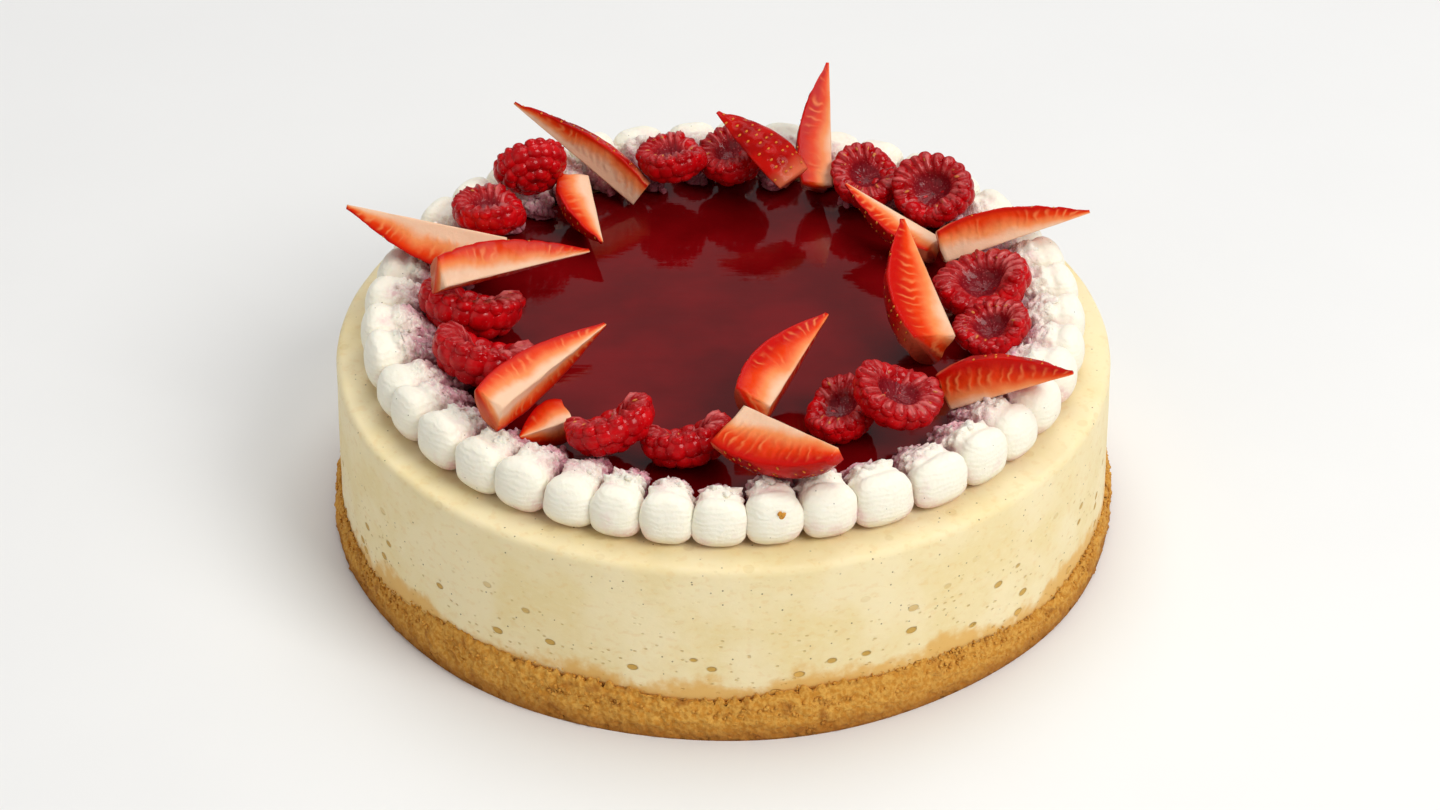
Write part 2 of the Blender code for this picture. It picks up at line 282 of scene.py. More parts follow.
@dataclass(frozen=True)
class BiscuitFinish:
    """Baked biscuit crumb, darker in patches and towards the foot."""

    light: Colour = (0.68, 0.36, 0.068)
    mid: Colour = (0.54, 0.225, 0.020)
    dark: Colour = (0.30, 0.092, 0.005)

    def material(self) -> bpy.types.Material:
        """Makes the material."""
        shader = Shader("biscuit", Roughness=0.85, Specular_IOR_Level=0.35)
        where = shader.place()
        grain = shader.noise(where, 0.9, 6.0)
        crumbs = shader.cells(where, 0.75)
        height = shader.axis(where, "Z")
        colour = shader.layered(
            shader.mix(grain.ease(0.36, 0.66), self.mid, self.light),
            (shader.noise(where, 0.22, 3.0).ease(0.52, 0.76) * 0.7, self.dark),
            (height.ease(6.5, 0.0) * 0.7, self.dark))
        relief = grain * 0.6 + (1.0 - crumbs) * 0.4
        return shader.finish(colour, 0.72 + grain * 0.25, relief, 0.7)


@dataclass(frozen=True)
class FillingFinish:
    """Baked cream cheese: warm pale yellow, pitted in its lower half, specked, and golden at its foot."""

    body: Colour = (0.81, 0.665, 0.345)
    pale: Colour = (0.86, 0.738, 0.455)
    # Painted shade: the darker colour laid in the pits, as if they were shaded inside.
    pit_shade: Colour = (0.52, 0.29, 0.03)
    speck: Colour = (0.12, 0.08, 0.04)
    browned: Colour = (0.72, 0.40, 0.085)
    foot_slope: float = 0.035

    def material(self) -> bpy.types.Material:
        """Makes the material."""
        shader = Shader("baked_filling", Specular_IOR_Level=0.4, Subsurface_Weight=0.15,
                        Subsurface_Radius=(1.0, 0.7, 0.35), Subsurface_Scale=0.002)
        where = shader.place()
        flat = shader.place(stretch=(1.0, 1.0, 1.6))
        height = shader.axis(where, "Z")
        cloud = shader.noise(where, 0.045, 4.0)
        lower = height.ease(38.0, 24.0)
        chance = shader.cells(flat, 0.145, output="Color")
        chosen = shader.axis(chance, "X").ease(0.56, 0.58) * (lower * 0.85 + 0.15)
        pits = shader.cells(flat, 0.145).ease(0.235, 0.175) * chosen
        small = shader.cells(flat, 0.33).ease(0.18, 0.10) * (lower * 0.6 + 0.15)
        mottle = shader.noise(flat, 0.4, 5.0)
        specks = shader.cells(where, 0.42).ease(0.12, 0.07)
        rare = shader.axis(shader.cells(where, 0.42, output="Color"), "X").ease(0.45, 0.9)
        # The crust is highest at the front, so the golden foot is too.
        foot = height + shader.noise(where, 0.35, 5.0) * 9.0 + shader.axis(where, "Y") * self.foot_slope
        foot = foot + shader.noise(where, 0.045, 2.0) * 26.0 - 13.0
        colour = shader.layered(
            shader.mix(cloud.ease(0.38, 0.62), self.body, self.pale),
            # Painted highlight: the upper wall is painted paler towards the shoulder, as if lit from above.
            (height.ease(38.0, 47.0) * 0.25, self.pale),
            (mottle.ease(0.52, 0.70) * 0.35, self.pale),
            (mottle.ease(0.46, 0.32) * 0.16, self.browned),
            # Painted shade in the pits, large and small, over their real dents in the relief.
            (pits * 0.9, self.pit_shade),
            (small * 0.55, self.pit_shade),
            (specks * rare * 0.85, self.speck),
            (foot.ease(19.5, 14.5) * 0.85, self.browned))
        relief = cloud * 0.4 + mottle * 0.22 - pits * 0.6 - small * 0.4
        return shader.finish(colour, 0.52 + cloud * 0.15, relief, 0.7)


@dataclass(frozen=True)
class JellyFinish:
    """Set berry jelly, nearly black where it is deep, with a mirror surface and faint streaks."""

    deep: Colour = (0.105, 0.0006, 0.0014)
    clear: Colour = (0.165, 0.0014, 0.0028)

    def material(self) -> bpy.types.Material:
        """Makes the material."""
        shader = Shader("jelly", IOR=1.42)
        where = shader.place()
        drawn = shader.place(turn=(0.0, 0.0, 0.12), stretch=(0.10, 1.1, 1.0))
        cloud = shader.noise(where, 0.05, 3.0)
        streaks = shader.noise(drawn, 0.5, 4.0, 0.4)
        colour = shader.mix(cloud.ease(0.25, 0.75), self.deep, self.clear)
        relief = streaks * 0.35 + shader.noise(where, 0.09, 2.0)
        return shader.finish(colour, 0.035 + streaks.ease(0.5, 0.8) * 0.06, relief, 0.10)


@dataclass(frozen=True)
class CreamFinish:
    """Whipped cream, stained by the berries where it is dragged over the jelly."""

    white: Colour = (0.90, 0.865, 0.735)
    # The colour of the painted shade on the lower parts of the dollops.
    warm: Colour = (0.82, 0.76, 0.56)
    stain: Colour = (0.68, 0.29, 0.36)
    juice: Colour = (0.26, 0.02, 0.045)
    speck: Colour = (0.08, 0.06, 0.05)

    def material(self) -> bpy.types.Material:
        """Makes the material."""
        shader = Shader("whipped_cream", Specular_IOR_Level=0.35, Subsurface_Weight=0.25,
                        Subsurface_Radius=(1.0, 0.8, 0.6), Subsurface_Scale=0.002)
        where = shader.place()
        flat = shader.place(stretch=(1.0, 1.0, 0.0))
        out = shader.node("ShaderNodeVectorMath", {"operation": "LENGTH"}, {0: flat}, "Value")
        height = shader.axis(where, "Z")
        patches = shader.noise(where, 0.16, 4.0)
        fine = shader.noise(where, 0.9, 4.0)
        inner = out + patches * 26.0 + height * 0.9
        wet = out * 0.5 + height + patches * 6.0
        colour = shader.layered(
            # Painted shade: the dollops are painted warmer and darker lower down, as if shaded.
            shader.mix(height.ease(54.5, 50.0) * 0.8, self.white, self.warm),
            (inner.ease(156.0, 139.0) * 0.95 * fine.ease(0.22, 0.55), self.stain),
            (wet.ease(97.5, 92.0) * 0.85, self.juice),
            (shader.cells(where, 0.30).ease(0.055, 0.035) * 0.8, self.speck))
        ripples = (height * 4.6 + shader.noise(where, 0.25, 3.0) * 14.0).sine() * 0.5 + 0.5
        torn = out.ease(86.0, 81.0)
        relief = ripples * 0.10 * (1.0 - torn) + fine * (0.26 + torn * 0.9)
        return shader.finish(colour, 0.55 + fine * 0.2, relief, 0.8)


@dataclass(frozen=True)
class StrawberryFinish:
    """Strawberry flesh and skin, told apart by what the mesh keeps at its points."""

    core: Colour = (0.84, 0.54, 0.36)
    pale: Colour = (0.84, 0.27, 0.085)
    orange: Colour = (0.74, 0.042, 0.002)
    red: Colour = (0.52, 0.004, 0.001)
    skin: Colour = (0.52, 0.005, 0.002)
    dark: Colour = (0.27, 0.002, 0.002)
    shoulder: Colour = (0.72, 0.20, 0.09)
    seed: Colour = (0.66, 0.20, 0.03)

    def material(self) -> bpy.types.Material:
        """Makes the material."""
        shader = Shader("strawberry", Specular_IOR_Level=0.05, Coat_Weight=0.09, Coat_Roughness=0.06,
                        Subsurface_Weight=0.08, Subsurface_Radius=(1.0, 0.25, 0.12), Subsurface_Scale=0.002)
        local = shader.stored("berry", "Vector")
        where = shader.place()
        along = shader.axis(local, "X")
        depth = shader.axis(local, "Y")
        share = shader.axis(local, "Z")
        ripe = shader.stored("ripe")
        skin = shader.stored("skin")
        seed = shader.stored("seed")
        patches = shader.noise(where, 0.11, 3.0)
        fibre = ((along - depth * 2.8 + patches * 9.0) * 2.4).sine() * 0.5 + 0.5
        mask = depth.ease(0.22, 0.45) * depth.ease(0.95, 0.70)
        flush = depth * 1.35 + share * 0.5 + ripe * 0.8 + (patches - 0.5) * 0.8 - 0.62
        inside = shader.layered(
            shader.mix(flush.ease(0.0, 0.45), self.core, self.pale),
            (flush.ease(0.30, 0.85), self.orange),
            (flush.ease(0.72, 1.30), self.red),
            (fibre ** 4.0 * mask * patches.ease(0.42, 0.62) * 0.65, self.pale),
            (depth.ease(0.82, 0.98) * 0.9, self.red))
        outside = shader.layered(
            shader.mix(patches.ease(0.35, 0.7), self.skin, self.dark),
            (share.ease(0.20, 0.02) * (1.0 - ripe * 0.7), self.shoulder))
        colour = shader.layered(inside, (skin, outside), (seed, self.seed))
        relief = shader.noise(where, 0.8, 3.0) * 0.35 + fibre * mask * 0.3
        return shader.finish(colour, 0.40 - skin * 0.16, relief, 0.45)


@dataclass(frozen=True)
class RaspberryFinish:
    """Raspberry: glassy drupelets outside, a pink ring where it is cut, and a fuzzy hollow in painted shade.
    """

    drupe: Colour = (0.40, 0.0008, 0.003)
    glow: Colour = (0.60, 0.0018, 0.0045)
    cut: Colour = (0.37, 0.0015, 0.004)
    ray: Colour = (0.72, 0.17, 0.16)
    # Painted shade: the dark colour laid in the hollow.
    hollow: Colour = (0.19, 0.003, 0.008)
    seed: Colour = (0.62, 0.20, 0.05)
    # Pale pink dots: partly fine hairs, partly painted glints of light.
    hair_and_glint: Colour = (0.62, 0.22, 0.22)

    def material(self) -> bpy.types.Material:
        """Makes the material."""
        shader = Shader("raspberry", Specular_IOR_Level=0.08, Coat_Weight=0.30, Coat_Roughness=0.04,
                        Subsurface_Weight=0.08, Subsurface_Radius=(1.0, 0.15, 0.15), Subsurface_Scale=0.002)
        local = shader.stored("berry", "Vector")
        where = shader.place()
        turn = shader.axis(local, "X")
        reach = shader.axis(local, "Y")
        cut = shader.stored("cut")
        seed = shader.stored("seed")
        patches = shader.noise(where, 0.25, 3.0)
        outside = shader.layered(
            shader.mix(patches.ease(0.35, 0.68), self.drupe, self.glow),
            # Pale flecks on the drupelets: partly hairs, partly painted glints.
            (shader.cells(where, 0.9).ease(0.13, 0.07) * 0.6, self.hair_and_glint))
        rays = ((turn * 18.0 + 1.57 + patches * 1.5).sine() * 0.5 + 0.5) ** 3.0
        streaks = ((turn * 51.0 + patches * 7.0).sine() * 0.5 + 0.5) ** 2.0
        ring = reach.ease(0.42, 0.60) * reach.ease(0.98, 0.84)
        lines = rays * 0.65 + streaks * 0.25
        hairs = shader.cells(where, 1.3).ease(0.30, 0.14) * reach.ease(0.66, 0.5)
        face = shader.layered(
            shader.mix(lines * ring * patches.ease(0.34, 0.62), self.cut, self.ray),
            # Painted shade: the hollow is painted dark, as if shaded inside.
            (reach.ease(0.56, 0.40), self.hollow),
            (hairs * 0.35, self.ray))
        colour = shader.layered(outside, (cut, face), (seed, self.seed))
        relief = shader.noise(where, 1.2, 3.0) * (0.15 + cut * 0.6) + rays * cut * 0.15
        return shader.finish(colour, 0.26 + cut * 0.14, relief, 0.4)


@dataclass(frozen=True)
class FloorFinish:
    """The pale paper that the cake stands on."""

    paper: Colour = (0.83, 0.83, 0.82)

    def material(self) -> bpy.types.Material:
        """Makes the material."""
        shader = Shader("pale_floor", Specular_IOR_Level=0.2)
        grain = shader.noise(shader.place(), 0.02, 4.0)
        darker = tuple(0.97 * value for value in self.paper)
        return shader.finish(shader.mix(grain, self.paper, darker), 0.8)


class Shape:
    """A mesh under construction, in millimetres, with values kept at its points."""

    def __init__(self) -> None:
        """Starts an empty mesh."""
        self.bm = bmesh.new()

    def layer(self, name: str) -> bmesh.types.BMLayerItem:
        """The layer of single values with a name."""
        layers = self.bm.verts.layers.float
        return layers.get(name) or layers.new(name)

    def vector_layer(self, name: str) -> bmesh.types.BMLayerItem:
        """The layer of vectors with a name."""
        layers = self.bm.verts.layers.float_vector
        return layers.get(name) or layers.new(name)

    def ball(self, around: int, along: int) -> list[bmesh.types.BMVert]:
        """Adds a ball of radius 1 whose poles are on the X axis."""
        turned = Matrix.Rotation(math.radians(90.0), 4, "Y")
        made = bmesh.ops.create_uvsphere(self.bm, u_segments=around, v_segments=along, radius=1.0,
                                         matrix=turned)
        return made["verts"]

    def grain(self, size: Vector, turn: Matrix, place: Vector, rounds: int) -> list[bmesh.types.BMVert]:
        """Adds a small ball, stretched to a size, turned and moved.

        Args:
            size: Half of its length each way.
            turn: Its rotation.
            place: Its middle.
            rounds: 1 for 20 faces, 2 for 80, 3 for 320.

        Returns:
            Its vertices.
        """
        matrix = Matrix.Translation(place) @ turn @ Matrix.Diagonal((*size, 1.0))
        made = bmesh.ops.create_icosphere(self.bm, subdivisions=rounds, radius=1.0, matrix=matrix)
        return made["verts"]

    def rings(self, sides: int, count: int) -> list[list[bmesh.types.BMVert]]:
        """Adds a closed tube of unit rings, each to be moved into place afterwards.

        Args:
            sides: Vertices in a ring.
            count: How many rings.

        Returns:
            The rings, each as its vertices in order.
        """
        first = bmesh.ops.create_circle(self.bm, segments=sides, radius=1.0)["verts"]
        rings = [first]
        edges = list(self.bm.edges)[-sides:]
        bmesh.ops.contextual_create(self.bm, geom=edges)
        order = {vertex: index for index, vertex in enumerate(first)}
        for _ in range(count - 1):
            made = bmesh.ops.extrude_edge_only(self.bm, edges=edges)["geom"]
            edges = [item for item in made if isinstance(item, bmesh.types.BMEdge)]
            found = [item for item in made if isinstance(item, bmesh.types.BMVert)]
            fresh = set(found)
            ring: list[bmesh.types.BMVert | None] = [None] * sides
            for vertex in found:
                for edge in vertex.link_edges:
                    other = edge.other_vert(vertex)
                    if other not in fresh and other in order:
                        ring[order[other]] = vertex
            order = {vertex: index for index, vertex in enumerate(ring)}
            rings.append(ring)
        bmesh.ops.contextual_create(self.bm, geom=edges)
        return rings

    def move(self, matrix: Matrix) -> None:
        """Moves the whole mesh."""
        bmesh.ops.transform(self.bm, matrix=matrix, verts=self.bm.verts)

    def finish(self, name: str, slot: Slot, material: bpy.types.Material,
               replaced: Iterable[str] = ()) -> bpy.types.Object:
        """Turns the mesh into a piece in metres.

        Args:
            name: The piece's name.
            slot: Not used.
            material: Its material.
            replaced: The nodes that it stands for.

        Returns:
            The object.
        """
        bmesh.ops.recalc_face_normals(self.bm, faces=self.bm.faces)
        bmesh.ops.scale(self.bm, vec=(MM, MM, MM), verts=self.bm.verts)
        mesh = bpy.data.meshes.new(name)
        self.bm.to_mesh(mesh)
        self.bm.free()
        mesh.shade_smooth()
        mesh.materials.append(material)
        piece = put(name, mesh)
        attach(piece, "root")
        for node in replaced:
            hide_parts(node)
        LOG.info("%s: %d vertices, %d faces", name, len(mesh.vertices), len(mesh.polygons))
        return piece


class Batch:
    """A piece gathered from small meshes, because an operator walks the whole of the mesh it works on."""

    def __init__(self) -> None:
        """Starts with no meshes."""
        self.meshes: list[bpy.types.Mesh] = []

    def add(self, shape: Shape) -> None:
        """Takes over a small mesh."""
        mesh = bpy.data.meshes.new("gathered")
        shape.bm.to_mesh(mesh)
        shape.bm.free()
        self.meshes.append(mesh)

    def join(self) -> Shape:
        """All the small meshes as one."""
        whole = Shape()
        for mesh in self.meshes:
            whole.bm.from_mesh(mesh)
            bpy.data.meshes.remove(mesh)
        return whole


def circled(ring: Sequence[bmesh.types.BMVert]) -> Iterator[tuple[float, bmesh.types.BMVert]]:
    """Each vertex of a ring with its plan angle in degrees."""
    for index, vertex in enumerate(ring):
        yield 360.0 * index / len(ring), vertex


def polar(radius: float, degrees: float, height: float) -> Vector:
    """The point at a radius and a plan angle."""
    angle = math.radians(degrees)
    return Vector((radius * math.cos(angle), radius * math.sin(angle), height))


@dataclass
class Studio:
    """The camera, the soft lights and the pale floor."""

    aim: Vector = Vector((-0.00083, 0.0, 0.02868))
    distance: float = 1.0
    elevation: float = 34.41
    focal_pixels: float = 3835.0
    image_width: int = 1440
    sensor: float = 36.0
    floor_size: float = 12.0
    room: Colour = (0.96, 0.97, 1.0)
    room_strength: float = 0.32

    def build(self) -> None:
        """Makes the camera, the lights, the world and the floor."""
        self.camera()
        self.light("key", (0.85, -0.75, 1.10), 0.8, 16.0, (1.0, 0.98, 0.95))
        self.light("fill", (-1.2, -0.9, 0.8), 1.4, 4.2, (1.0, 0.95, 0.86))
        self.light("back", (0.1, 0.75, 1.7), 1.4, 16.0, (1.0, 1.0, 1.0))
        self.world()
        self.floor()
        bpy.context.scene.view_settings.view_transform = "Standard"

    def camera(self) -> None:
        """Places the camera at the photograph's viewing angle."""
        data = bpy.data.cameras.new("camera")
        data.sensor_width = self.sensor
        data.lens = self.focal_pixels / self.image_width * self.sensor
        data.clip_start = 0.05
        camera = put("camera", data)
        lift = math.radians(self.elevation)
        camera.location = self.aim + self.distance * Vector((0.0, -math.cos(lift), math.sin(lift)))
        camera.rotation_euler = (math.radians(90.0) - lift, 0.0, 0.0)
        bpy.context.scene.camera = camera

    def light(self, name: str, place: Triple, size: float, power: float, colour: Colour) -> None:
        """Adds a square soft light that faces the cake."""
        data = bpy.data.lights.new(name, "AREA")
        data.shape = "SQUARE"
        data.size = size
        data.energy = power
        data.color = colour
        lamp = put(name, data)
        lamp.location = place
        lamp.rotation_euler = (self.aim - Vector(place)).to_track_quat("-Z", "Y").to_euler()

    def world(self) -> None:
        """Lights everything evenly from all round."""
        world = bpy.data.worlds.new("soft_room")
        world.use_nodes = True
        background = world.node_tree.nodes["Background"]
        background.inputs["Color"].default_value = (*self.room, 1.0)
        background.inputs["Strength"].default_value = self.room_strength
        bpy.context.scene.world = world

    def floor(self) -> None:
        """Lays the floor."""
        bm = bmesh.new()
        bmesh.ops.create_grid(bm, x_segments=4, y_segments=4, size=0.5 * self.floor_size)
        mesh = bpy.data.meshes.new("floor")
        bm.to_mesh(mesh)
        bm.free()
        mesh.materials.append(FloorFinish().material())
        floor = put("floor", mesh)


@dataclass
class Crust:
    """The pressed biscuit base, its crumbly side and the loose crumbs on it."""

    radius: float = 102.3
    swell: float = 0.6
    height: float = 9.2
    swing: float = 3.6
    high_side: float = -100.0
    lip_radius: float = 100.3
    around: int = 900
    levels: int = 18
    flare: Stops = ((0.0, -0.3), (0.16, 0.0), (0.5, 0.0), (0.82, -0.6), (1.0, -1.4))
    roughness: float = 0.75
    lumps: float = 0.5
    ragged: float = 2.0
    crumb_count: int = 3200
    batch_size: int = 40
    stray: Triple = (92.1, -81.3, 59.2)
    stray_count: int = 5
    stray_size: Triple = (0.9, 0.55, 0.6)

    def top(self, degrees: float) -> float:
        """Height of the uneven outer edge."""
        angle = math.radians(degrees)
        swing = self.swing * math.cos(angle - math.radians(self.high_side))
        wave = 1.4 * math.sin(6.0 * angle + 2.1) + 0.6 * math.sin(13.0 * angle + 0.7)
        return self.height + swing + wave

    def side(self, degrees: float) -> float:
        """Radius of the outside."""
        angle = math.radians(degrees)
        return self.radius + self.swell * math.sin(3.0 * angle + 0.3) + 0.25 * math.sin(8.0 * angle)

    def build(self, material: bpy.types.Material) -> None:
        """Makes the base and its crumbs."""
        self.base(material)
        self.crumbs(material)

    def base(self, material: bpy.types.Material) -> None:
        """The base as rings carried up the side and in under the filling."""
        shape = Shape()
        rings = shape.rings(self.around, self.levels + 3)
        for level, ring in enumerate(rings):
            share = min(1.0, level / self.levels)
            for degrees, vertex in circled(ring):
                out = self.side(degrees) + blend(self.flare, share)
                height = share * self.top(degrees)
                if level == self.levels + 1:
                    out, height = self.lip_radius - 1.2, self.top(degrees) - 0.4
                elif level == self.levels + 2:
                    out, height = self.lip_radius - 10.0, self.height - 0.5
                vertex.co = polar(out, degrees, height)
                if 0 < level <= self.levels:
                    rough = noise.fractal(vertex.co * 0.55, 0.9, 2.2, 4)
                    lump = noise.noise(vertex.co * 0.16)
                    push = self.roughness * rough + self.lumps * lump - 0.25
                    vertex.co += polar(1.0, degrees, 0.0) * push
                if level in (self.levels, self.levels + 1):
                    vertex.co.z += self.ragged * noise.fractal(polar(60.0, degrees, 0.0), 0.9, 2.0, 3)
        shape.finish("crust_body", Slot.CRUST, material, ("crust",))

    def crumbs(self, material: bpy.types.Material) -> None:
        """Crumbs in the side and over the edge of the filling, and a few stray ones on a front dollop."""
        draw = random.Random(31)
        batch = Batch()
        shape = Shape()
        for number in range(self.crumb_count):
            degrees = draw.uniform(0.0, 360.0)
            top = self.top(degrees)
            lift = 1.0 - abs(draw.gauss(0.0, 0.40))
            height = max(0.5, top * lift + draw.uniform(-0.5, 1.3))
            size = draw.uniform(0.25, 0.75) * (0.6 if height > top else 1.0)
            out = self.side(degrees) - 0.5 if height < 0.8 * top else self.lip_radius + 0.35
            turn = Matrix.Rotation(draw.uniform(0.0, 6.28), 4, Vector((draw.random(), draw.random(), 1.0)))
            stretch = Vector((size, size * draw.uniform(0.6, 1.0), size * draw.uniform(0.5, 0.9)))
            shape.grain(stretch, turn, polar(out - 0.2 * size, degrees, max(height, size + 0.2)), 1)
            if number % self.batch_size == self.batch_size - 1:
                batch.add(shape)
                shape = Shape()
        radius, degrees, height = self.stray
        for _ in range(self.stray_count):
            spot = polar(radius, degrees + draw.uniform(-0.5, 0.5), height + draw.uniform(-0.9, 0.9))
            turn = Matrix.Rotation(draw.uniform(0.0, 6.28), 4, "Z")
            shape.grain(Vector(self.stray_size), turn, spot, 1)
        batch.add(shape)
        batch.join().finish("crust_crumbs", Slot.CRUST, material)


@dataclass
class Filling:
    """The baked filling, a drum with a rounded shoulder."""

    crust: Crust
    radius: float = 100.0
    height: float = 49.0
    shoulder: float = 2.0
    around: int = 480
    walls: int = 26
    turns: tuple[float, ...] = (10.0, 20.0, 30.0, 40.0, 50.0, 60.0, 70.0, 80.0, 90.0)
    top_radii: tuple[float, float] = (70.0, 30.0)
    wave: float = 0.35
    ripple: float = 0.12

    def build(self, material: bpy.types.Material) -> None:
        """Makes the drum from rings up the wall, over the shoulder and across the top."""
        shape = Shape()
        rings = shape.rings(self.around, 1 + self.walls + len(self.turns) + len(self.top_radii))
        for level, ring in enumerate(rings):
            for degrees, vertex in circled(ring):
                vertex.co = self.point(level, degrees)
                if level > 1 and vertex.co.z < self.height - 0.01:
                    push = noise.noise(vertex.co * 0.03) * self.wave
                    push += noise.noise(vertex.co * 0.11) * self.ripple
                    vertex.co += polar(1.0, degrees, 0.0) * push
        shape.finish("filling_body", Slot.FILLING, material, ("filling",))

    def point(self, level: int, degrees: float) -> Vector:
        """A point of the drum's outline."""
        foot = self.crust.top(degrees) - 1.0
        if level == 0:
            return polar(self.radius - 8.0, degrees, foot + 1.4)
        if level <= self.walls:
            share = (level - 1) / (self.walls - 1)
            start = self.height - self.shoulder
            return polar(self.radius + 0.2 - 0.6 * share, degrees, foot + (start - foot) * share)
        step = level - self.walls - 1
        if step < len(self.turns):
            lean = math.radians(self.turns[step])
            out = self.radius - 0.4 - self.shoulder * (1.0 - math.cos(lean))
            return polar(out, degrees, self.height - self.shoulder * (1.0 - math.sin(lean)))
        return polar(self.top_radii[step - len(self.turns)], degrees, self.height)


@dataclass
class Jelly:
    """The set jelly, a thin disc with a rounded lip."""

    radius: float = 78.0
    base: float = 49.3
    height: float = 2.7
    around: int = 256
    lip: Stops = ((0.9, 0.0), (0.15, 0.15), (0.0, 0.4), (0.15, 0.66), (0.6, 0.86), (1.3, 0.97))
    insets: tuple[float, ...] = (0.04, 0.1, 0.25, 0.45, 0.65, 0.85)

    def build(self, material: bpy.types.Material) -> None:
        """Makes the disc from rings over the lip and in to the middle."""
        outline = [*self.lip, *((self.radius * share, 1.0) for share in self.insets)]
        shape = Shape()
        for (inset, share), ring in zip(outline, shape.rings(self.around, len(outline))):
            for degrees, vertex in circled(ring):
                angle = math.radians(degrees)
                wave = 0.35 * math.sin(5.0 * angle) + 0.2 * math.sin(11.0 * angle)
                out = max(1.0, self.radius + wave - inset)
                vertex.co = polar(out, degrees, self.base + share * self.height)
        shape.finish("jelly_disc", Slot.JELLY, material, ("jelly",))


